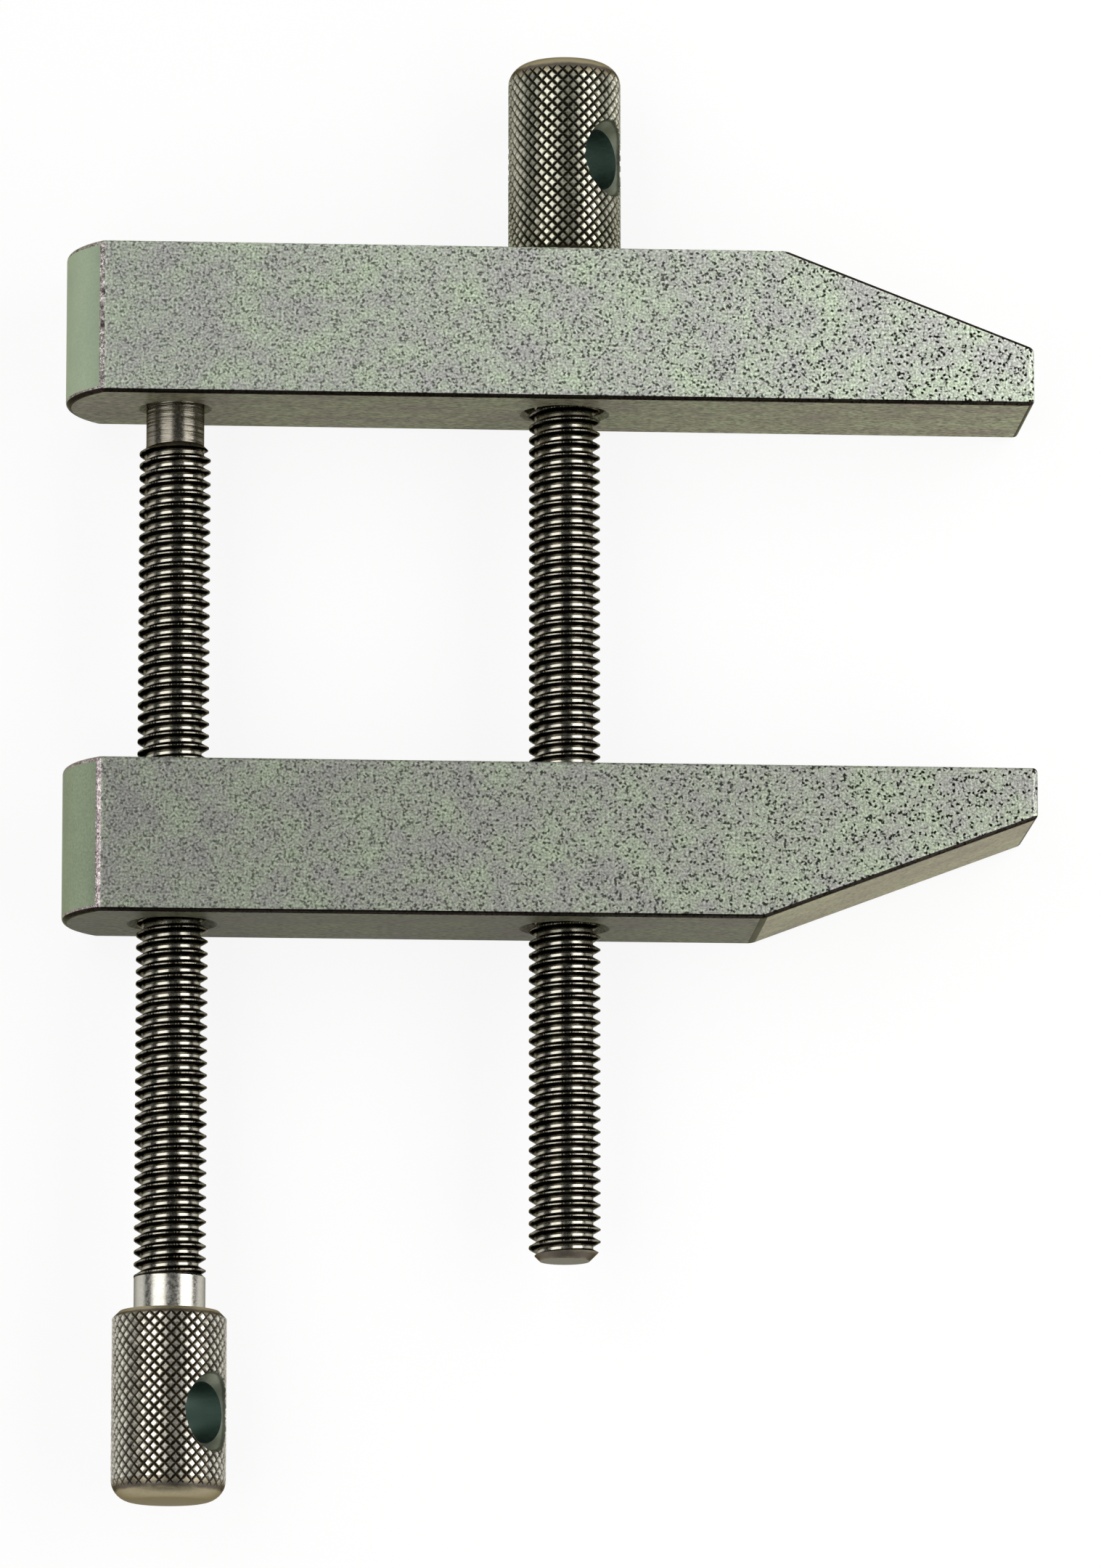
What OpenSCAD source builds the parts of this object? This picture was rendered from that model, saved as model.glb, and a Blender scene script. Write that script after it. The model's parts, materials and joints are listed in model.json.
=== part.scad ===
// Toolmakers clamp: a plain jaw and a tapped jaw on two knurled-head screws, lying on its side.
// X runs along the jaws with the noses at +X, Y along the screws with the middle screw's
// head at +Y, and Z up through the jaws' thickness. The origin is under the middle of the clamp.

/* [Jaws] */
// Length of each jaw, from the rounded rear end to the nose
jaw_length = 79.2; // [70:0.1:120]
// Height of each jaw, measured along the screws
jaw_height = 12.7; // [10:0.1:18]
// Thickness of each jaw
jaw_thickness = 12.8; // [10:0.1:18]
// How far the rounded rear end stands out past its side edges
rear_bulge = 2.8; // [1:0.1:4.5]
// Length of the slope that thins the plain jaw's nose
plain_nose_length = 20.4; // [8:0.1:30]
// Height left at the tip of that nose
plain_nose_tip = 4.8; // [2:0.1:8]
// Length of the slope that thins the tapped jaw's nose
tapped_nose_length = 22.4; // [8:0.1:30]
// Height left at the tip of that nose
tapped_nose_tip = 4.2; // [2:0.1:8]
// Width of the flats that break the jaws' edges
edge_break = 0.35; // [0.1:0.05:0.8]

/* [Setting] */
// Gap between the two gripping faces
opening = 30.2; // [1:0.1:52]

/* [Screw places] */
// Rear end of the jaws to the rear screw's axis
rear_screw_offset = 9; // [7:0.1:14]
// Distance between the axes of the two screws
screw_spacing = 32; // [18:0.5:36]

/* [Screws] */
// Outside diameter of the threads
thread_diameter = 5.85; // [5.2:0.05:6.3]
// Length of the middle screw below its head
middle_screw_length = 83; // [76:0.5:110]
// Length of the rear screw from its head to the tip of its pin
rear_screw_length = 82; // [76:0.5:110]
// Diameter of the plain collar between each head and its thread
collar_diameter = 5.8; // [4.6:0.05:6.2]
// Length of that collar
collar_length = 3; // [1:0.1:8]
// Chamfer on the free end of the middle screw
tip_chamfer = 0.9; // [0.2:0.1:1.8]
// Diameter of the pin on the end of the rear screw
pin_diameter = 4.75; // [3:0.05:5]
// Length of that pin
pin_length = 10.5; // [8.5:0.1:16]
// Chamfer on the tip of the pin
pin_chamfer = 0.5; // [0.2:0.05:1.2]

/* [Heads] */
// Outside diameter of the heads
head_diameter = 9.3; // [8.4:0.1:12]
// Length of the middle screw's head
middle_head_length = 16.8; // [13:0.1:24]
// Length of the rear screw's head
rear_head_length = 15.4; // [13:0.1:24]
// Radius on the outer end of the heads
head_end_radius = 1.8; // [0.4:0.1:3]
// Chamfer round the foot of the heads
head_foot_chamfer = 0.4; // [0.1:0.05:0.6]
// Diameter of the tommy bar hole through each head
tommy_diameter = 5; // [3:0.1:5.6]
// Diameter of its countersinks
tommy_countersink = 6.6; // [5.8:0.1:7.4]
// Foot of a head to the axis of its tommy hole
tommy_height = 8.4; // [4.5:0.1:8.8]
// How far the middle screw's tommy hole leans from upright towards the noses
middle_tommy_angle = 54; // [0:1:90]
// How far the rear screw's tommy hole leans from upright towards the noses
rear_tommy_angle = 51; // [0:1:90]

/* [Holes and fits] */
// Clearance hole for the middle screw in the plain jaw
clearance_hole = 6.6; // [6.1:0.1:7.2]
// Diameter of the countersinks on the screw holes
hole_countersink = 7.4; // [7.3:0.1:8.4]
// Depth of the pin's socket in the plain jaw, to the start of its drill point
socket_depth = 7; // [4:0.1:8]
// Diameter of the countersink on that socket
socket_countersink = 6; // [5.4:0.1:7]
// Radial clearance of the threads in the tapped jaw
thread_clearance = 0.06; // [0.02:0.01:0.1]
// Radial clearance of the pin in its socket
pin_clearance = 0.12; // [0.05:0.01:0.2]
// Clearance under the middle head and at the tip of the pin
seat_clearance = 0.05; // [0.01:0.01:0.2]

/* [Hidden] */
$fn = 64;
// Extra length that carries a cut clear of the surface
past = 1;
// Half the point angle of a twist drill
drill_half_angle = 59;

half_thickness = jaw_thickness / 2;
head_radius = head_diameter / 2;
thread_radius = thread_diameter / 2;
collar_radius = collar_diameter / 2;
pin_radius = pin_diameter / 2;
tapped_hole = thread_diameter + 2 * thread_clearance;
socket_diameter = pin_diameter + 2 * pin_clearance;

// The rear end is one arc across the thickness
rear_radius = (pow(half_thickness, 2) + pow(rear_bulge, 2)) / (2 * rear_bulge);
rear_corner_angle = asin(half_thickness / rear_radius);

// Places along Y, counted from the tapped jaw's gripping face
middle_head_foot = opening + jaw_height + seat_clearance;
middle_head_end = middle_head_foot + middle_head_length;
middle_tip = middle_head_foot - middle_screw_length;
pin_seat = socket_depth + (socket_diameter / 2 - pin_radius + pin_chamfer) / tan(drill_half_angle);
pin_tip = opening + pin_seat - seat_clearance;
rear_head_foot = pin_tip - rear_screw_length;
rear_head_end = rear_head_foot - rear_head_length;

// The origin lies midway along X and Y, on the surface that the clamp lies on
lowest_y = min(rear_head_end, middle_tip, -jaw_height);
middle_y = (middle_head_end + lowest_y) / 2;
axis_height = max(jaw_thickness, head_diameter) / 2;
middle_screw_x = rear_screw_offset + screw_spacing;

zinc_grey = [0.62, 0.65, 0.59];
screw_grey = [0.47, 0.47, 0.44];

// Moves a shape from the jaws' rear corner to the clamp's own frame
module in_frame() {
    translate([-jaw_length / 2, -middle_y, axis_height])
        children();
}

// The square bar that a jaw is cut from, with its four long edges broken
module jaw_bar() {
    inner = half_thickness - edge_break;
    translate([-past, 0, 0])
        rotate([90, 0, 90])
            linear_extrude(jaw_length + 2 * past)
                polygon([
                    [edge_break, -half_thickness], [jaw_height - edge_break, -half_thickness],
                    [jaw_height, -inner], [jaw_height, inner],
                    [jaw_height - edge_break, half_thickness], [edge_break, half_thickness],
                    [0, inner], [0, -inner],
                ]);
}

// All that lies below the plane y = 0, with 45 degree flats along both sides of that plane
module below_plane() {
    reach = 2 * jaw_length;
    inner = half_thickness - edge_break;
    translate([-reach, 0, 0])
        rotate([90, 0, 90])
            linear_extrude(2 * reach)
                polygon([
                    [0, inner], [0, -inner],
                    [-reach, -inner - reach], [-reach, inner + reach],
                ]);
}

// Side view of a jaw's two nose corners, broken by flats that run on past the bar
module nose_corners(nose_tip, nose_slope) {
    meet = (nose_tip - 2 * edge_break) / (2 + nose_slope);
    top = jaw_height + past;
    linear_extrude(2 * jaw_thickness, center = true)
        polygon([
            [-past, -past], [jaw_length - edge_break - past, -past],
            [jaw_length + meet, edge_break + meet],
            [jaw_length - (top - nose_tip + edge_break) / (1 + nose_slope), top],
            [-past, top],
        ]);
}

// The drum that rounds the rear end, with both rims broken, and the space ahead of it
module rear_drum() {
    rim = rear_radius - edge_break - past;
    translate([rear_radius, 0, 0])
        rotate([-90, 0, 0])
            rotate_extrude()
                polygon([
                    [0, -past], [rim, -past], [rear_radius, edge_break],
                    [rear_radius, jaw_height - edge_break],
                    [rim, jaw_height + past], [0, jaw_height + past],
                ]);
    translate([rear_radius, -past, -jaw_thickness])
        cube([jaw_length, jaw_height + 2 * past, 2 * jaw_thickness]);
}

// The flat that breaks the upright edge between the rear end and one side face
module rear_edge_flat() {
    turn = (90 - rear_corner_angle) / 2;
    depth = edge_break * sqrt(2) / 2 * tan(turn);
    size = 2 * edge_break;
    translate([rear_bulge, -past, half_thickness])
        rotate([0, -turn, 0])
            translate([-size, 0, -depth])
                cube([2 * size, jaw_height + 2 * past, size]);
}

// A jaw with its gripping face on y = 0 and its rear end at x = 0, its nose thinned by one plane
module jaw_blank(nose_length, nose_tip) {
    nose_slope = (jaw_height - nose_tip) / nose_length;
    difference() {
        intersection() {
            jaw_bar();
            nose_corners(nose_tip, nose_slope);
            rear_drum();
            translate([jaw_length, 0, 0])
                rotate([0, 0, -90])
                    below_plane();
            translate([jaw_length, nose_tip, 0])
                rotate([0, 0, -atan(nose_slope)])
                    below_plane();
        }
        rear_edge_flat();
        mirror([0, 0, 1])
            rear_edge_flat();
    }
}

// A 90 degree countersink that opens along -Z at z = 0
module countersink(diameter, hole) {
    depth = (diameter - hole) / 2;
    translate([0, 0, -past])
        cylinder(h = depth + past, r1 = diameter / 2 + past, r2 = hole / 2);
}

// A hole right through a jaw along Y, countersunk on both faces
module screw_hole(x, diameter) {
    translate([x, 0, 0])
        rotate([-90, 0, 0]) {
            translate([0, 0, -past])
                cylinder(h = jaw_height + 2 * past, d = diameter);
            countersink(hole_countersink, diameter);
            translate([0, 0, jaw_height])
                mirror([0, 0, 1])
                    countersink(hole_countersink, diameter);
        }
}

// The blind socket that takes the rear screw's pin, with its drill point
module pin_socket(x) {
    point = socket_diameter / 2 / tan(drill_half_angle);
    translate([x, 0, 0])
        rotate([-90, 0, 0]) {
            translate([0, 0, -past])
                cylinder(h = socket_depth + past, d = socket_diameter);
            translate([0, 0, socket_depth])
                cylinder(h = point, d1 = socket_diameter, d2 = 0);
            countersink(socket_countersink, socket_diameter);
        }
}

// A turned screw, head up with its foot on z = 0. The shank's own [radius, height] points
// follow the collar down to the tip, and a ring fills out the round on the head's end.
module turned_bar(shank, head_length) {
    inner = head_radius - head_end_radius;
    round_start = head_length - head_end_radius;
    rotate_extrude()
        polygon(concat([
            [0, head_length], [inner, head_length], [head_radius, round_start],
            [head_radius, head_foot_chamfer], [head_radius - head_foot_chamfer, 0],
            [collar_radius, 0], [collar_radius, -collar_length], [thread_radius, -collar_length],
        ], shank));
    rotate_extrude()
        translate([inner, round_start])
            circle(head_end_radius);
}

// The tommy bar hole across a head, countersunk at both ends
module tommy_hole() {
    translate([0, 0, tommy_height])
        rotate([90, 0, 0]) {
            cylinder(h = head_diameter + 2 * past, d = tommy_diameter, center = true);
            for (side = [0, 1])
                mirror([0, 0, side])
                    translate([0, 0, -head_radius])
                        countersink(tommy_countersink, tommy_diameter);
        }
}

// A turned screw, cross-drilled through its head
module turned_screw(shank, head_length, tommy_turn) {
    difference() {
        turned_bar(shank, head_length);
        rotate(tommy_turn)
            tommy_hole();
    }
}

// The loose jaw: the middle head bears on its outer face, and the rear pin in its socket
module plain_jaw() {
    color(zinc_grey)
        in_frame()
            translate([0, opening, 0])
                difference() {
                    jaw_blank(plain_nose_length, plain_nose_tip);
                    screw_hole(middle_screw_x, clearance_hole);
                    pin_socket(rear_screw_offset);
                }
}

// The jaw that both screws are threaded through
module tapped_jaw() {
    color(zinc_grey)
        in_frame()
            mirror([0, 1, 0])
                difference() {
                    jaw_blank(tapped_nose_length, tapped_nose_tip);
                    screw_hole(middle_screw_x, tapped_hole);
                    screw_hole(rear_screw_offset, tapped_hole);
                }
}

// The screw that pulls the jaws together, with a chamfered free end
module middle_screw() {
    end = -middle_screw_length;
    color(screw_grey)
        in_frame()
            translate([middle_screw_x, middle_head_foot, 0])
                rotate([-90, 0, 0])
                    turned_screw([
                        [thread_radius, end + tip_chamfer], [thread_radius - tip_chamfer, end], [0, end],
                    ], middle_head_length, middle_tommy_angle);
}

// The screw that pushes the jaws' rear ends apart, with a plain pin that seats in the socket
module rear_screw() {
    tip = -rear_screw_length;
    shoulder = tip + pin_length;
    color(screw_grey)
        in_frame()
            translate([rear_screw_offset, rear_head_foot, 0])
                rotate([90, 0, 0])
                    turned_screw([
                        [thread_radius, shoulder + thread_radius - pin_radius], [pin_radius, shoulder],
                        [pin_radius, tip + pin_chamfer], [pin_radius - pin_chamfer, tip], [0, tip],
                    ], rear_head_length, -rear_tommy_angle);
}

plain_jaw();
tapped_jaw();
middle_screw();
rear_screw();
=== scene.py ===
"""Looks of the toolmakers clamp: plated jaws with rounded edges, knurled heads and cut threads."""

import json
from math import atan2, cos, hypot, pi, radians, sin, tan

import bmesh
import bpy
from mathutils import Matrix, Vector


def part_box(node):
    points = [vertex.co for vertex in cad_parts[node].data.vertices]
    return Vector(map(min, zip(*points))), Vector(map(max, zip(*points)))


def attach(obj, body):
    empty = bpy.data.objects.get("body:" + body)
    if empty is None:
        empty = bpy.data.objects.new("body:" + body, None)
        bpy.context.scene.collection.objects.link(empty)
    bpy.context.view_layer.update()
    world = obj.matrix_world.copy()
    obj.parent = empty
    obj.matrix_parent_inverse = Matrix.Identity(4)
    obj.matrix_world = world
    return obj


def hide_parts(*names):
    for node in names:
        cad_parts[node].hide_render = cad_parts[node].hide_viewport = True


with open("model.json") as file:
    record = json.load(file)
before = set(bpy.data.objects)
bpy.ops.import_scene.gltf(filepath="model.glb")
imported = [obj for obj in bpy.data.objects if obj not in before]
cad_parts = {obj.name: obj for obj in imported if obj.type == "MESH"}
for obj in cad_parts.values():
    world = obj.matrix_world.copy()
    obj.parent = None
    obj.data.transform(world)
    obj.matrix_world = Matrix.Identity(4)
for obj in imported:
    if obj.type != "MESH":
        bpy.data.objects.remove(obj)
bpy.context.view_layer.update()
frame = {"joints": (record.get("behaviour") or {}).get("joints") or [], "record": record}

MM = 0.001
UP_SCREWS = Vector((0, 1, 0))
SQUARE = radians(90)

# Sizes of the pieces, in metres
EDGE_WIDTH = 0.62 * MM
REAR_BULGE = 2.8 * MM
PLAIN_NOSE_LENGTH = 20.4 * MM
PLAIN_NOSE_TIP = 4.8 * MM
TAPPED_NOSE_LENGTH = 22.4 * MM
TAPPED_NOSE_TIP = 4.2 * MM
CLEARANCE_HOLE = 3.3 * MM
TAPPED_HOLE = 2.985 * MM
HOLE_SINK = 3.7 * MM
SOCKET_RADIUS = 2.495 * MM
SOCKET_SINK = 3.0 * MM
SOCKET_DEPTH = 7.0 * MM
DRILL_HALF_ANGLE = radians(59)
PAST = 1.0 * MM

PITCH = 1.0 * MM
THREAD_RADIUS = 2.925 * MM
THREAD_ROOT = 2.33 * MM
THREAD_OUTLINE = ((0, THREAD_ROOT), (0.2, THREAD_ROOT), (0.55, THREAD_RADIUS), (0.65, THREAD_RADIUS))
TIP_CHAMFER = 0.9 * MM
PIN_RADIUS = 2.375 * MM
PIN_LENGTH = 10.5 * MM
PIN_CHAMFER = 0.5 * MM
COLLAR_RADIUS = 2.9 * MM
COLLAR_LENGTH = 3.0 * MM
COLLAR_CHAMFER = 0.25 * MM
COLLAR_OVERLAP = 0.5 * MM

MIDDLE_HEAD_LENGTH = 16.8 * MM
REAR_HEAD_LENGTH = 15.4 * MM
HEAD_RADIUS = 4.65 * MM
HEAD_ROUND = 1.8 * MM
HEAD_FOOT = 0.6 * MM
KNURLS_AROUND = 32
KNURL_DEPTH = 0.2 * MM
KNURL_GROOVE = 0.16 * MM
TOMMY_RADIUS = 2.5 * MM
TOMMY_SINK = 3.3 * MM
TOMMY_SINK_DEPTH = 1.2 * MM

# Vertices closer than this are one, on a plain body and on a body spun along a helix
MERGE = 0.0005 * MM
HELIX_MERGE = 0.001 * MM

# Angles in degrees: edges that turn by more are shaded sharp
JAW_CREASE = 5
KNURL_CREASE = 15
TURNED_CREASE = 30

# Edges of a jaw's bar that turn by more than this are rounded, in this many steps
CORNER_ANGLE = radians(12)
EDGE_SEGMENTS = 4

# Steps round a full turn, round the jaws' rear ends and round the heads' rims
TURNED_STEPS = 96
HEAD_STEPS = 128
TOMMY_STEPS = 72
THREAD_STEPS = 72
REAR_STEPS = 24
RIM_STEPS = 10


def joint_place(name):
    """Where a hinge of the frame has its axis."""
    return Vector(next(j for j in frame["joints"] if j["name"] == name)["pos_m"])


def mount(name):
    """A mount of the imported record."""
    return next(m for m in frame["record"]["mounts"] if m["name"] == name)


# Mesh helpers

def to_piece(bm, name, smooth_angle):
    """Merges, turns faces outwards and makes an object at the origin, smooth below an angle."""
    bmesh.ops.remove_doubles(bm, verts=bm.verts, dist=MERGE)
    bmesh.ops.recalc_face_normals(bm, faces=bm.faces)
    mesh = bpy.data.meshes.new(name)
    bm.to_mesh(mesh)
    bm.free()
    piece = bpy.data.objects.new(name, mesh)
    bpy.context.scene.collection.objects.link(piece)
    shade(piece, smooth_angle)
    return piece


def shade(piece, smooth_angle):
    """Smooth faces, with edges sharp where they turn by more than the angle."""
    piece.data.shade_smooth()
    piece.data.set_sharp_from_angle(angle=radians(smooth_angle))


def chain(bm, points):
    """A row of vertices joined by edges, as the profile for a spin."""
    verts = [bm.verts.new(p) for p in points]
    edges = [bm.edges.new(pair) for pair in zip(verts, verts[1:])]
    return verts + edges


def turned(profile, axis, away, steps=TURNED_STEPS):
    """A body turned round a line along Y, from (radius, distance along away) points."""
    bm = bmesh.new()
    row = chain(bm, [axis + Vector((r, 0, 0)) + away * d for r, d in profile])
    bmesh.ops.spin(bm, geom=row, cent=axis, axis=UP_SCREWS, angle=2 * pi, steps=steps, use_merge=True)
    return bm


def arc(centre, radius, start, end):
    """Points of a round on a turned profile, from one angle to another."""
    angles = [start + (end - start) * i / RIM_STEPS for i in range(RIM_STEPS + 1)]
    return [(centre[0] + radius * cos(a), centre[1] + radius * sin(a)) for a in angles]


def slice_off(bm, place, normal):
    """Cuts off what lies past a plane and closes the cut."""
    everything = bm.verts[:] + bm.edges[:] + bm.faces[:]
    cut = bmesh.ops.bisect_plane(bm, geom=everything, plane_co=place, plane_no=normal, clear_outer=True)
    rim = [e for e in cut["geom_cut"] if isinstance(e, bmesh.types.BMEdge)]
    bmesh.ops.edgeloop_fill(bm, edges=rim)


def give(piece, finishes):
    """Gives a piece its finishes, in the order that its faces count them."""
    for finish in finishes:
        piece.data.materials.append(finish)


def combine(piece, tool, operation, finish):
    """Cuts, joins or keeps what is common with a tool body, whose faces bring their own finish."""
    for face in tool.data.polygons:
        face.material_index = finish
    step = piece.modifiers.new(operation.lower(), "BOOLEAN")
    step.object = tool
    step.operation = operation
    step.solver = "MANIFOLD"
    depsgraph = bpy.context.evaluated_depsgraph_get()
    made = bpy.data.meshes.new_from_object(piece.evaluated_get(depsgraph))
    old = piece.data
    piece.modifiers.clear()
    piece.data = made
    bpy.data.meshes.remove(old)
    bpy.data.objects.remove(tool)


# Jaws. The faces of a jaw have one of six finishes, in this order
PEENED, DRAWN, MILLED, GROUND, PAINTED_SHADE_EDGE, PAINTED_HIGHLIGHT_EDGE = range(6)

# How much of a face's normal lies along a direction that it leans towards, and that it faces squarely
LEANS = 0.2
LEANS_SLIGHTLY = 0.1
FACES = 0.75


def edge_finish(normal):
    """Painted shade, a dark reflection, on edges towards the rear screw's head and on a slope that faces
    away from it; a painted highlight with glints at the rear end; and elsewhere like the sides."""
    if normal.y < -LEANS or (normal.y > LEANS and normal.x > LEANS_SLIGHTLY):
        return PAINTED_SHADE_EDGE
    return PAINTED_HIGHLIGHT_EDGE if normal.x < -LEANS else PEENED


def jaw_bar(node, outward, nose_length, nose_tip):
    """The bar of a jaw: a round rear end, a sloped nose and rounded edges, with no holes yet."""
    low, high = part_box(node)
    middle = (low.z + high.z) / 2
    half = (high.z - low.z) / 2
    height = high.y - low.y
    grip = low.y if outward > 0 else high.y
    rear_radius = (half**2 + REAR_BULGE**2) / (2 * REAR_BULGE)
    swing = 2 * atan2(half, rear_radius - REAR_BULGE)

    bm = bmesh.new()
    lower_rear = bm.verts.new((low.x + REAR_BULGE, low.y, low.z))
    centre = Vector((low.x + rear_radius, low.y, middle))
    bmesh.ops.spin(bm, geom=[lower_rear], cent=centre, axis=UP_SCREWS, angle=swing, steps=REAR_STEPS)
    upper_rear = max(bm.verts, key=lambda v: v.co.z)
    upper_nose = bm.verts.new((high.x, low.y, high.z))
    lower_nose = bm.verts.new((high.x, low.y, low.z))
    bm.edges.new((upper_rear, upper_nose))
    bm.edges.new((upper_nose, lower_nose))
    bm.edges.new((lower_nose, lower_rear))
    outline = bmesh.ops.contextual_create(bm, geom=bm.edges[:])["faces"]
    grown = bmesh.ops.extrude_face_region(bm, geom=outline)["geom"]
    risen = [v for v in grown if isinstance(v, bmesh.types.BMVert)]
    bmesh.ops.translate(bm, verts=risen, vec=UP_SCREWS * height)
    bmesh.ops.recalc_face_normals(bm, faces=bm.faces)
    slope = Vector((height - nose_tip, nose_length * outward, 0)).normalized()
    slice_off(bm, Vector((high.x, grip + nose_tip * outward, middle)), slope)
    bmesh.ops.remove_doubles(bm, verts=bm.verts, dist=MERGE)
    bmesh.ops.recalc_face_normals(bm, faces=bm.faces)
    for face in bm.faces:
        at_rear = face.calc_center_median().x < low.x + REAR_BULGE
        face.material_index = PEENED if abs(face.normal.z) > FACES and not at_rear else MILLED
        if at_rear and abs(face.normal.y) < FACES:
            face.material_index = DRAWN
        if face.normal.x > LEANS:
            face.material_index = GROUND
    corners = [e for e in bm.edges if e.calc_face_angle(0) > CORNER_ANGLE]
    rounded = bmesh.ops.bevel(
        bm, geom=corners, offset=EDGE_WIDTH, offset_type="WIDTH", affect="EDGES", segments=EDGE_SEGMENTS,
        profile=0.5, material=-1, clamp_overlap=True,
    )["faces"]
    bm.normal_update()
    for face in rounded:
        face.material_index = edge_finish(face.normal)
    return bm


def drill(piece, profile, place, away):
    """Cuts a hole of the given profile into a jaw, inwards from its gripping face."""
    tool = to_piece(turned(profile, place, away), "drill", TURNED_CREASE)
    combine(piece, tool, "DIFFERENCE", MILLED)


def through_profile(radius, height):
    """A hole right through a jaw, with a countersink at each end."""
    sink = HOLE_SINK - radius
    return [
        (0, -PAST), (HOLE_SINK + PAST, -PAST), (radius, sink), (radius, height - sink),
        (HOLE_SINK + PAST, height + PAST), (0, height + PAST),
    ]


def socket_profile():
    """The pin's blind socket, with its drill point and countersink."""
    point = SOCKET_DEPTH + SOCKET_RADIUS / tan(DRILL_HALF_ANGLE)
    return [
        (0, -PAST), (SOCKET_SINK + PAST, -PAST), (SOCKET_RADIUS, SOCKET_SINK - SOCKET_RADIUS),
        (SOCKET_RADIUS, SOCKET_DEPTH), (0, point),
    ]


# Screws. The faces of a screw have one of four finishes, in this order
WORKED, END, SMOOTH, SUNK = range(4)


def cut_thread(axis, start, end):
    """A right-hand thread between two places: one profile spun a turn while it rises a pitch. It
    starts two turns early and ends past its place, and is then cut to length."""
    turns = int((end - start) / PITCH) + 5
    bm = bmesh.new()
    row = chain(bm, [
        axis + Vector((radius, start + (count - 2 + share) * PITCH, 0))
        for count in range(turns) for share, radius in THREAD_OUTLINE
    ])
    bmesh.ops.spin(
        bm, geom=row, cent=axis, axis=UP_SCREWS, dvec=UP_SCREWS * PITCH / THREAD_STEPS, angle=2 * pi,
        steps=THREAD_STEPS,
    )
    bmesh.ops.remove_doubles(bm, verts=bm.verts, dist=HELIX_MERGE)
    slice_off(bm, axis + UP_SCREWS * start, -UP_SCREWS)
    slice_off(bm, axis + UP_SCREWS * end, UP_SCREWS)
    return bm


def knurl(axis, start, end):
    """A bar with a diamond knurl: a helix spun along the opposite helix, each diamond raised."""
    steps = 2 * KNURLS_AROUND
    turn = 2 * pi / steps
    rise = turn * HEAD_RADIUS
    margin = 3 * rise
    rows = steps + int((end - start + 2 * margin) / rise)
    bm = bmesh.new()
    first = bm.verts.new(axis + Vector((HEAD_RADIUS - KNURL_DEPTH, start - margin, 0)))
    bmesh.ops.spin(
        bm, geom=[first], cent=axis, axis=UP_SCREWS, dvec=UP_SCREWS * rise, angle=turn * rows, steps=rows
    )
    bmesh.ops.spin(
        bm, geom=bm.verts[:] + bm.edges[:], cent=axis, axis=UP_SCREWS, dvec=-UP_SCREWS * rise, angle=2 * pi,
        steps=steps,
    )
    bmesh.ops.remove_doubles(bm, verts=bm.verts, dist=HELIX_MERGE)
    outside = [f for f in bm.faces if not start - margin < f.calc_center_median().y < end + margin]
    bmesh.ops.delete(bm, geom=outside, context="FACES")
    bmesh.ops.recalc_face_normals(bm, faces=bm.faces)
    bmesh.ops.inset_individual(
        bm, faces=bm.faces[:], thickness=KNURL_GROOVE, depth=KNURL_DEPTH, use_even_offset=True
    )
    slice_off(bm, axis + UP_SCREWS * start, -UP_SCREWS)
    slice_off(bm, axis + UP_SCREWS * end, UP_SCREWS)
    return bm


def head(name, axis, foot, away, length, hole, finishes):
    """A knurled bar kept inside its turned outline and cross-drilled for a tommy bar."""
    end = foot + away.y * length
    piece = to_piece(knurl(axis, min(foot, end) - PAST, max(foot, end) + PAST), name, KNURL_CREASE)
    give(piece, finishes)
    outline = [(0, 0), (HEAD_RADIUS - HEAD_FOOT, 0), (HEAD_RADIUS, HEAD_FOOT)]
    outline += arc((HEAD_RADIUS - HEAD_ROUND, length - HEAD_ROUND), HEAD_ROUND, 0, SQUARE)
    outline += [(0, length)]
    blank = turned(outline, axis + UP_SCREWS * foot, away, HEAD_STEPS)
    combine(piece, to_piece(blank, "head_blank", TURNED_CREASE), "INTERSECT", END)
    lean = UP_SCREWS.rotation_difference(Vector(hole["axis"])).to_matrix().to_4x4()
    reach = HEAD_RADIUS + PAST
    land = HEAD_RADIUS - TOMMY_SINK_DEPTH
    flare = TOMMY_RADIUS + (TOMMY_SINK - TOMMY_RADIUS) * (reach - land) / TOMMY_SINK_DEPTH
    bore = [(0, -reach), (TOMMY_RADIUS, -reach), (TOMMY_RADIUS, reach), (0, reach)]
    sink = [(0, land), (TOMMY_RADIUS, land), (flare, reach), (0, reach)]
    cuts = ((bore, UP_SCREWS, SMOOTH), (sink, UP_SCREWS, SUNK), (sink, -UP_SCREWS, SUNK))
    for profile, side, finish in cuts:
        cutter = turned(profile, Vector(), side, TOMMY_STEPS)
        bmesh.ops.transform(cutter, matrix=Matrix.Translation(hole["pos_m"]) @ lean, verts=cutter.verts)
        combine(piece, to_piece(cutter, "tommy_drill", TURNED_CREASE), "DIFFERENCE", finish)
    shade(piece, KNURL_CREASE)
    return piece


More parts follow.
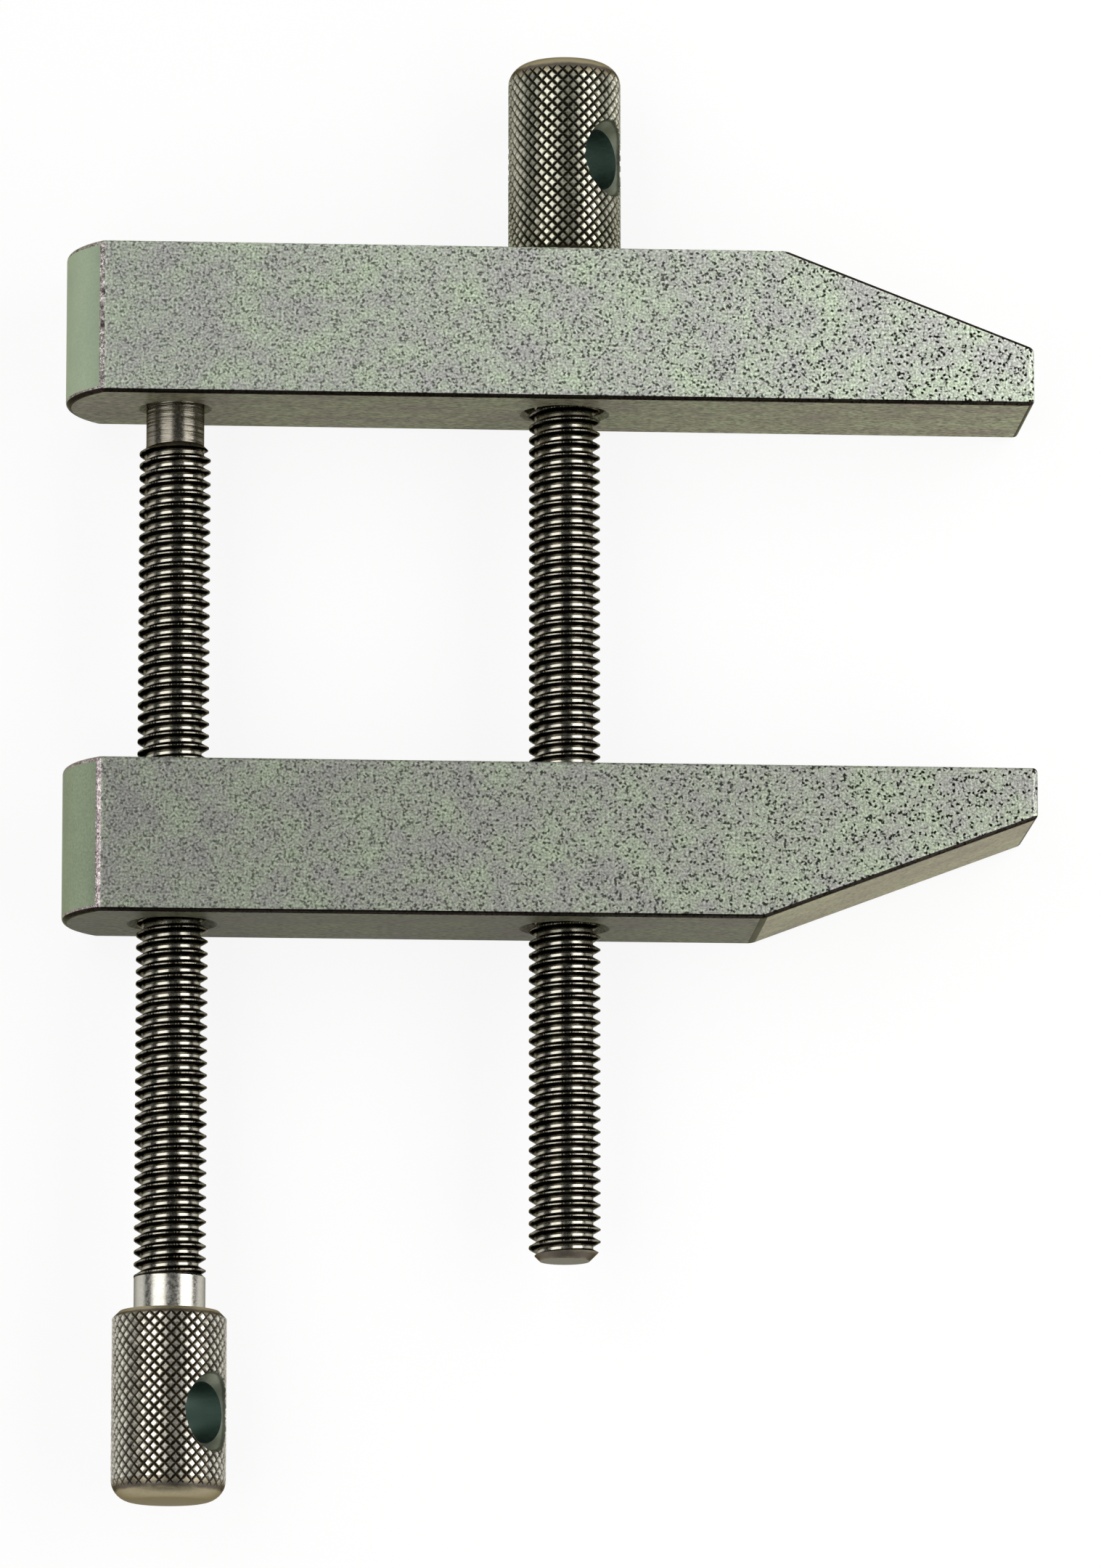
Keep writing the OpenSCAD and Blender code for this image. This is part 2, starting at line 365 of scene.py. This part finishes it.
def shank(name, axis, foot, away, tip_profile, thread_end):
    """The collar, the thread and the free end below a head, from (radius, distance from head) points."""
    start, end = sorted((foot + away.y * (COLLAR_LENGTH - COLLAR_CHAMFER), foot + away.y * thread_end))
    piece = to_piece(cut_thread(axis, start, end), name, TURNED_CREASE)
    give(piece, shank_finishes)
    base = axis + UP_SCREWS * foot
    outside = [(0, 0), (THREAD_RADIUS, 0)] + tip_profile
    blank = to_piece(turned(outside, base, away), "shank_blank", TURNED_CREASE)
    combine(piece, blank, "INTERSECT", END)
    collar = [
        (0, -COLLAR_OVERLAP), (COLLAR_RADIUS, -COLLAR_OVERLAP),
        (COLLAR_RADIUS, COLLAR_LENGTH - COLLAR_CHAMFER),
        (COLLAR_RADIUS - COLLAR_CHAMFER, COLLAR_LENGTH), (0, COLLAR_LENGTH),
    ]
    combine(piece, to_piece(turned(collar, base, away), "collar", TURNED_CREASE), "UNION", SMOOTH)
    shade(piece, TURNED_CREASE)
    return piece


def mark_height(piece, axis, root, crest):
    """Notes on each vertex where it is between the root (0) and the crest (1) of a thread or knurl."""
    share = piece.data.attributes.new("height_share", "FLOAT", "POINT")
    for vertex in piece.data.vertices:
        radius = hypot(vertex.co.x - axis.x, vertex.co.z - axis.z)
        share.data[vertex.index].value = (radius - root) / (crest - root)


# Materials

def linear(hex_colour):
    """An sRGB hex colour as linear red, green, blue and alpha."""
    parts = [int(hex_colour[i:i + 2], 16) / 255 for i in (1, 3, 5)]
    return [p / 12.92 if p <= 0.04045 else ((p + 0.055) / 1.055) ** 2.4 for p in parts] + [1]


def add(tree, kind, sockets, **settings):
    """Adds a node. Each socket gets a value, or a link where it is given another node's output."""
    made = tree.nodes.new(kind)
    for name, value in settings.items():
        setattr(made, name, value)
    for key, value in sockets.items():
        if isinstance(value, bpy.types.NodeSocket):
            tree.links.new(value, made.inputs[key])
        else:
            made.inputs[key].default_value = value
    return made


def new_material(name):
    """An empty node material with its shader and output."""
    made = bpy.data.materials.new(name)
    made.use_nodes = True
    tree = made.node_tree
    tree.nodes.clear()
    shader = add(tree, "ShaderNodeBsdfPrincipled", {})
    add(tree, "ShaderNodeOutputMaterial", {"Surface": shader.outputs[0]})
    place = add(tree, "ShaderNodeTexCoord", {}).outputs["Object"]
    return made, tree, shader, place


def per_metre(size_mm):
    """The texture scale at which one feature is that many millimetres wide."""
    return 1 / (size_mm * MM)


# Plate: its grain and pits in millimetres, and the rear and nose between which it grows paler, as painted
# light, and more pitted
PLATE_GRAIN = 0.2
PLATE_PIT = 0.4
PLATE_REAR = -40 * MM
PLATE_NOSE = 40 * MM
PITTED_NOSE = 30 * MM


def zinc(
    name, pale, stain, pit, pits=0.0, grain=0.3, cloud=5, streak=1, roughness=0.45, relief=0.02,
    metallic=0.7, gloss=0.25,
):
    """Zinc plate, passivated: a pale metal with clouds of stain as many millimetres wide as cloud says.
    On peened steel it shows fine dark pits. Towards the nose it is more pitted and paler, the paleness
    painted light. A streak below 1 draws clouds and grain out along the jaw, as milling and grinding do."""
    made, tree, shader, place = new_material(name)
    along = add(tree, "ShaderNodeSeparateXYZ", {0: place}).outputs[0]
    drawn = add(tree, "ShaderNodeMapping", {"Vector": place, "Scale": (streak, 1, 1)}).outputs[0]
    clouds = add(
        tree, "ShaderNodeTexNoise",
        {"Vector": drawn, "Scale": per_metre(cloud), "Detail": 7, "Roughness": 0.72},
    ).outputs[0]
    grains = add(
        tree, "ShaderNodeTexNoise", {"Vector": drawn, "Scale": per_metre(PLATE_GRAIN), "Detail": 2}
    ).outputs[0]
    dots = add(tree, "ShaderNodeTexVoronoi", {"Vector": place, "Scale": per_metre(PLATE_PIT)}).outputs[0]

    clear = add(tree, "ShaderNodeMapRange", {0: clouds, 1: 0.36, 2: 0.64}).outputs[0]
    plate = add(
        tree, "ShaderNodeMix", {0: clear, 6: linear(stain), 7: linear(pale)}, data_type="RGBA"
    ).outputs[2]
    shine = add(
        tree, "ShaderNodeMapRange", {0: grains, 1: 0.3, 2: 0.7, 3: 1 - grain, 4: 1 + grain}
    ).outputs[0]
    # Painted light: the plate is paler towards the nose and darker towards the rear.
    painted_light_to_nose = add(
        tree, "ShaderNodeMapRange", {0: along, 1: PLATE_REAR, 2: PLATE_NOSE, 3: 0.86, 4: 1.25}
    ).outputs[0]
    light = add(tree, "ShaderNodeMath", {0: shine, 1: painted_light_to_nose}, operation="MULTIPLY").outputs[0]
    grained = add(
        tree, "ShaderNodeMix", {0: 1.0, 6: plate, 7: light}, data_type="RGBA", blend_type="MULTIPLY"
    ).outputs[2]

    ragged = add(tree, "ShaderNodeMath", {0: dots, 1: grains}, operation="ADD").outputs[0]
    hole = add(tree, "ShaderNodeMapRange", {0: ragged, 1: 0.92, 2: 0.72, 4: pits}).outputs[0]
    nose = add(
        tree, "ShaderNodeMapRange", {0: along, 1: PLATE_REAR, 2: PITTED_NOSE, 3: 0.45}
    ).outputs[0]
    pitted = add(tree, "ShaderNodeMath", {0: hole, 1: nose}, operation="MULTIPLY").outputs[0]
    colour = add(tree, "ShaderNodeMix", {0: pitted, 6: grained, 7: linear(pit)}, data_type="RGBA")
    dull = add(tree, "ShaderNodeMapRange", {0: clouds, 3: roughness - 0.08, 4: roughness + 0.1})
    bump = add(tree, "ShaderNodeBump", {"Height": grains, "Distance": relief * MM})
    tree.links.new(colour.outputs[2], shader.inputs["Base Color"])
    tree.links.new(dull.outputs[0], shader.inputs["Roughness"])
    tree.links.new(bump.outputs[0], shader.inputs["Normal"])
    shader.inputs["Metallic"].default_value = metallic
    shader.inputs["Specular IOR Level"].default_value = gloss
    shader.inputs["Specular Tint"].default_value = linear("#A8A88C")
    return made


# Steel: its rubbed patches, fine grain and lathe rings, in millimetres
STEEL_PATCH = 0.9
STEEL_GRAIN = 0.2
LATHE_RING = 0.25
GRAIN_RELIEF = 0.01

# Lathe rings are drawn out across the screw's axis: their pattern is shrunk to this share there
LATHE_STRETCH = 0.04


def steel(name, bright, stain, shade_and_stain_at, roughness, ring_depth):
    """Plated carbon steel, turned or rolled: darker round one height of its thread or knurl and brighter
    away from it, the dark partly stain and partly painted shade, with the fine rings of the lathe and a dull
    edge at a flat angle."""
    made, tree, shader, place = new_material(name)
    height = add(tree, "ShaderNodeAttribute", {}, attribute_name="height_share")
    off = add(tree, "ShaderNodeMath", {0: height.outputs["Fac"], 1: shade_and_stain_at}, operation="SUBTRACT")
    far = add(tree, "ShaderNodeMath", {0: off.outputs[0]}, operation="ABSOLUTE")
    patch = add(tree, "ShaderNodeTexNoise", {"Vector": place, "Scale": per_metre(STEEL_PATCH), "Detail": 4})
    reach = max(shade_and_stain_at, 1 - shade_and_stain_at)
    rubbed_and_unshaded = add(
        tree, "ShaderNodeMath", {0: patch.outputs[0], 1: reach, 2: far.outputs[0]}, operation="MULTIPLY_ADD"
    )
    share = add(tree, "ShaderNodeMapRange", {0: rubbed_and_unshaded.outputs[0], 1: 0.8 * reach, 2: 1.45 * reach})
    colour = add(
        tree, "ShaderNodeMix", {0: share.outputs[0], 6: linear(stain), 7: linear(bright)}, data_type="RGBA"
    )
    fine = add(tree, "ShaderNodeTexNoise", {"Vector": place, "Scale": per_metre(STEEL_GRAIN), "Detail": 2})
    dull = add(
        tree, "ShaderNodeMapRange",
        {0: fine.outputs[0], 1: 0.3, 2: 0.7, 3: roughness - 0.06, 4: roughness + 0.1},
    )
    lathe = add(tree, "ShaderNodeMapping", {"Vector": place, "Scale": (LATHE_STRETCH, 1, LATHE_STRETCH)})
    rings = add(
        tree, "ShaderNodeTexNoise", {"Vector": lathe.outputs[0], "Scale": per_metre(LATHE_RING), "Detail": 3}
    )
    relief = add(tree, "ShaderNodeBump", {"Height": rings.outputs[0], "Distance": ring_depth * MM})
    bump = add(
        tree, "ShaderNodeBump",
        {
            "Height": fine.outputs[0], "Strength": 0.3, "Distance": GRAIN_RELIEF * MM,
            "Normal": relief.outputs[0],
        },
    )
    tree.links.new(colour.outputs[2], shader.inputs["Base Color"])
    tree.links.new(dull.outputs[0], shader.inputs["Roughness"])
    tree.links.new(bump.outputs[0], shader.inputs["Normal"])
    shader.inputs["Metallic"].default_value = 1.0
    shader.inputs["Specular Tint"].default_value = linear("#8C8A80")
    return made


# Making the pieces

plain_finishes = (
    zinc("plain_peened_zinc", "#B6C1AB", "#B1B0AE", "#141210", pits=1.0, grain=0.54, cloud=3, relief=0.05),
    zinc("plain_drawn_zinc", "#B4C3A8", "#ACBAA2", "#7C8474", grain=0.06, cloud=3, relief=0.001),
    zinc("plain_milled_zinc", "#898C70", "#766E60", "#3A362E", pits=0.4, grain=0.5, cloud=2.4, streak=0.4,
         metallic=0.3, gloss=0.1),
    zinc("plain_ground_zinc", "#98957A", "#7C7566", "#3A362E", pits=0.3, cloud=6, streak=0.5, metallic=0.4),
    # Painted shade: near-black edges stand for a dark reflection along the edges towards the rear screw's
    # head.
    zinc("plain_painted_shade_edge_zinc", "#322D28", "#2A2322", "#161210", pits=0.9, roughness=0.3, metallic=0.9),
    # Painted highlight and glints: a pale, glossy rear upright edge clouded with dark specks.
    zinc("plain_rear_painted_highlight_zinc", "#D6D0CA", "#5A4C50", "#1A1614", pits=1.0, grain=0.5, cloud=0.6,
         roughness=0.2, relief=0.2, metallic=0.9),
)
# Painted shade: the tapped jaw's peened, drawn and milled finishes are darker copies of the plain jaw's.
tapped_shaded_finishes = (
    zinc("tapped_shaded_peened_zinc", "#9EA793", "#999895", "#12100E", pits=1.0, grain=0.52, cloud=3, relief=0.05),
    zinc("tapped_shaded_drawn_zinc", "#9DAA90", "#96A28B", "#6C7464", pits=0.1, grain=0.12, cloud=3, relief=0.002),
    zinc("tapped_shaded_milled_zinc", "#696C54", "#58524A", "#2E2A24", pits=0.4, grain=0.5, cloud=2.4, streak=0.4,
         metallic=0.3, gloss=0.1),
    zinc("tapped_ground_zinc", "#9A967A", "#7A7262", "#3A362E", pits=0.3, cloud=6, streak=0.5, metallic=0.4),
    # Painted shade: near-black edges stand for a dark reflection along the edges towards the rear screw's
    # head.
    zinc("tapped_painted_shade_edge_zinc", "#2E2A26", "#272120", "#14100E", pits=0.9, roughness=0.3, metallic=0.9),
    # Painted highlight and glints: a pale, glossy rear upright edge clouded with dark specks.
    zinc("tapped_rear_painted_highlight_zinc", "#D2C8C6", "#8C7C80", "#3A3432", pits=0.6, grain=0.4, cloud=0.6,
         roughness=0.25, relief=0.1, metallic=0.9),
)
end_steel = steel("turned_end_steel", "#A89D82", "#6C655C", 0, 0.4, 0.01)
collar_steel = steel("turned_collar_steel", "#CAC7BE", "#ACA79C", 0, 0.26, 0.008)
pin_steel = steel("turned_pin_steel", "#C8C4B8", "#847F74", 0, 0.24, 0.08)
# Painted light: the tommy bores are a lightened teal, paler than their shade would let them look.
bore_steel = steel("teal_painted_light_bore_steel", "#7C9088", "#566660", 0, 0.4, 0)
# Painted shade, partly stain: the thread is near black on its flanks and bright at its crests and roots.
shank_finishes = (steel("threaded_steel", "#B6B2A6", "#1E1915", 0.62, 0.2, 0), end_steel, collar_steel)
sunk_steel = steel("sunk_rim_steel", "#8E9484", "#62665A", 0, 0.42, 0)
# Painted light and shade: the middle screw's knurl is a darker copy and the rear screw's a paler copy of one
# knurled steel; both are darker in the grooves, partly stain and partly painted shade.
painted_shade_knurl = steel("painted_shade_knurled_steel", "#BCBAAA", "#4A483C", 0, 0.31, 0)
painted_light_knurl = steel("painted_light_knurled_steel", "#E2DDD2", "#5E584C", 0, 0.29, 0)

MIDDLE_AXIS = joint_place("middle_screw_turn")
REAR_AXIS = joint_place("rear_screw_turn")


def make_jaw(node, outward, nose_length, nose_tip, holes, finishes):
    """A jaw with its holes, finishes and place in the frame."""
    low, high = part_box(node)
    grip = low.y if outward > 0 else high.y
    piece = to_piece(jaw_bar(node, outward, nose_length, nose_tip), node + "_body", JAW_CREASE)
    give(piece, finishes)
    for axis, profile in holes:
        drill(piece, profile, Vector((axis.x, grip, axis.z)), UP_SCREWS * outward)
    shade(piece, JAW_CREASE)
    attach(piece, node)
    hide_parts(node)


def make_screw(node, axis, toward_head, head_length, tip_profile, thread_end, hole, knurled):
    """A screw's knurled head and its shank."""
    low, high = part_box(node)
    line = Vector((axis.x, 0, axis.z))
    foot = high.y - head_length if toward_head > 0 else low.y + head_length
    outward = UP_SCREWS * toward_head
    finishes = (knurled, end_steel, bore_steel, sunk_steel)
    grip_part = head(node + "_head", line, foot, outward, head_length, hole, finishes)
    mark_height(grip_part, line, HEAD_RADIUS - KNURL_DEPTH, HEAD_RADIUS)
    threaded_part = shank(node + "_shank", line, foot, -outward, tip_profile, thread_end)
    mark_height(threaded_part, line, THREAD_ROOT, THREAD_RADIUS)
    for piece in (grip_part, threaded_part):
        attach(piece, node)
        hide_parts(node)


jaw_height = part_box("plain_jaw")[1].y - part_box("plain_jaw")[0].y
make_jaw("plain_jaw", 1, PLAIN_NOSE_LENGTH, PLAIN_NOSE_TIP, [
    (MIDDLE_AXIS, through_profile(CLEARANCE_HOLE, jaw_height)), (REAR_AXIS, socket_profile()),
], plain_finishes)
make_jaw("tapped_jaw", -1, TAPPED_NOSE_LENGTH, TAPPED_NOSE_TIP, [
    (axis, through_profile(TAPPED_HOLE, jaw_height)) for axis in (MIDDLE_AXIS, REAR_AXIS)
], tapped_shaded_finishes)

middle_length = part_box("middle_screw")[1].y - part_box("middle_screw")[0].y - MIDDLE_HEAD_LENGTH
make_screw("middle_screw", MIDDLE_AXIS, 1, MIDDLE_HEAD_LENGTH, [
    (THREAD_RADIUS, middle_length - TIP_CHAMFER), (THREAD_RADIUS - TIP_CHAMFER, middle_length),
    (0, middle_length),
], middle_length, mount("middle_tommy_hole"), painted_shade_knurl)

rear_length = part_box("rear_screw")[1].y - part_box("rear_screw")[0].y - REAR_HEAD_LENGTH
shoulder = rear_length - PIN_LENGTH
make_screw("rear_screw", REAR_AXIS, -1, REAR_HEAD_LENGTH, [
    (THREAD_RADIUS, shoulder - (THREAD_RADIUS - PIN_RADIUS)), (PIN_RADIUS, shoulder), (0, shoulder),
], shoulder, mount("rear_tommy_hole"), painted_light_knurl)
pin = turned([
    (0, shoulder - PITCH), (PIN_RADIUS, shoulder - PITCH), (PIN_RADIUS, rear_length - PIN_CHAMFER),
    (PIN_RADIUS - PIN_CHAMFER, rear_length), (0, rear_length),
], Vector((REAR_AXIS.x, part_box("rear_screw")[0].y + REAR_HEAD_LENGTH, REAR_AXIS.z)), UP_SCREWS)
pin_piece = to_piece(pin, "rear_screw_pin", TURNED_CREASE)
give(pin_piece, [pin_steel])
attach(pin_piece, "rear_screw")
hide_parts("rear_screw")

# Floor: matt where it lights the clamp, and nearly white where it is seen or mirrored

FLOOR_SIZE = 12.0
FLOOR_WHITENESS = 0.88
bm = bmesh.new()
bmesh.ops.create_grid(bm, x_segments=1, y_segments=1, size=FLOOR_SIZE / 2)
floor = to_piece(bm, "floor", TURNED_CREASE)
floor_paint = bpy.data.materials.new("pale_floor")
floor_paint.use_nodes = True
tree = floor_paint.node_tree
tree.nodes.clear()
ray = add(tree, "ShaderNodeLightPath", {}).outputs
seen = ray["Is Camera Ray"]
for kind in ("Is Glossy Ray", "Is Transmission Ray"):
    seen = add(tree, "ShaderNodeMath", {0: seen, 1: ray[kind]}, operation="MAXIMUM").outputs[0]
glow = add(tree, "ShaderNodeMath", {0: seen, 1: FLOOR_WHITENESS}, operation="MULTIPLY")
matt = add(tree, "ShaderNodeBsdfDiffuse", {"Color": linear("#F2F2F0")})
white = add(tree, "ShaderNodeEmission", {"Strength": 1.0})
both = add(tree, "ShaderNodeMixShader", {0: glow.outputs[0], 1: matt.outputs[0], 2: white.outputs[0]})
add(tree, "ShaderNodeOutputMaterial", {"Surface": both.outputs[0]})
floor.data.materials.append(floor_paint)

# Light: a soft panel on each side of the screws, the right one smaller and nearer, and a room that is
# brightest past the middle screw's head and dim elsewhere

ROOM_DIM = 0.08
ROOM_PAST_MIDDLE_HEAD = 0.85
ROOM_PAST_REAR_HEAD = 0.15
ROOM_TURNS = 0.3
ROOM_TURNED = 0.8


def panel(name, place, width, length, power):
    """A soft panel, longer along the screws, that faces the clamp."""
    lamp = bpy.data.lights.new(name, "AREA")
    lamp.shape = "RECTANGLE"
    lamp.size = width
    lamp.size_y = length
    lamp.energy = power
    rig = bpy.data.objects.new(name, lamp)
    rig.location = place
    rig.rotation_euler = Vector(place).to_track_quat("Z", "X").to_euler()
    bpy.context.scene.collection.objects.link(rig)


panel("left_panel", place=(-0.376, 0, 0.468), width=0.45, length=1.2, power=3.6)
panel("right_panel", place=(0.215, 0, 0.18), width=0.216, length=0.556, power=1.07)

world = bpy.data.worlds.new("room")
bpy.context.scene.world = world
world.use_nodes = True
tree = world.node_tree
sky = add(tree, "ShaderNodeTexCoord", {}).outputs["Generated"]
along_screws = add(tree, "ShaderNodeSeparateXYZ", {0: sky}).outputs[1]
above = add(
    tree, "ShaderNodeMapRange",
    {0: along_screws, 1: ROOM_TURNS, 2: ROOM_TURNED, 3: ROOM_DIM, 4: ROOM_PAST_MIDDLE_HEAD},
)
below = add(
    tree, "ShaderNodeMapRange",
    {0: along_screws, 1: -ROOM_TURNS, 2: -ROOM_TURNED, 3: 0, 4: ROOM_PAST_REAR_HEAD},
)
level = add(tree, "ShaderNodeMath", {0: above.outputs[0], 1: below.outputs[0]}, operation="ADD")
room = tree.nodes["Background"]
room.inputs["Color"].default_value = linear("#D8DCD6")
tree.links.new(level.outputs[0], room.inputs["Strength"])

# Camera, as the photograph was taken: a little below the jaws and to their rear, far away

VIEW_TURN = radians(-3.9)
VIEW_RISE = radians(-10.6)
VIEW_DISTANCE = 850 * MM
VIEW_TARGET = Vector((0.25, -0.64, 6.4)) * MM
LONG_SIDE = 36.0
FOCAL_LENGTH_PX = 14329
PHOTO_HEIGHT_PX = 2160

camera_data = bpy.data.cameras.new("camera")
camera_data.sensor_width = LONG_SIDE
camera_data.lens = LONG_SIDE * FOCAL_LENGTH_PX / PHOTO_HEIGHT_PX
camera_data.clip_start = 0.05
camera_data.clip_end = 10
camera = bpy.data.objects.new("camera", camera_data)
back = Vector((sin(VIEW_TURN) * cos(VIEW_RISE), sin(VIEW_RISE), cos(VIEW_TURN) * cos(VIEW_RISE)))
right = UP_SCREWS.cross(back).normalized()
turn = Matrix((right, back.cross(right), back)).transposed().to_4x4()
camera.matrix_world = Matrix.Translation(VIEW_TARGET + back * VIEW_DISTANCE) @ turn
bpy.context.scene.collection.objects.link(camera)
bpy.context.scene.camera = camera
bpy.context.scene.view_settings.view_transform = "Standard"

bpy.context.view_layer.update()
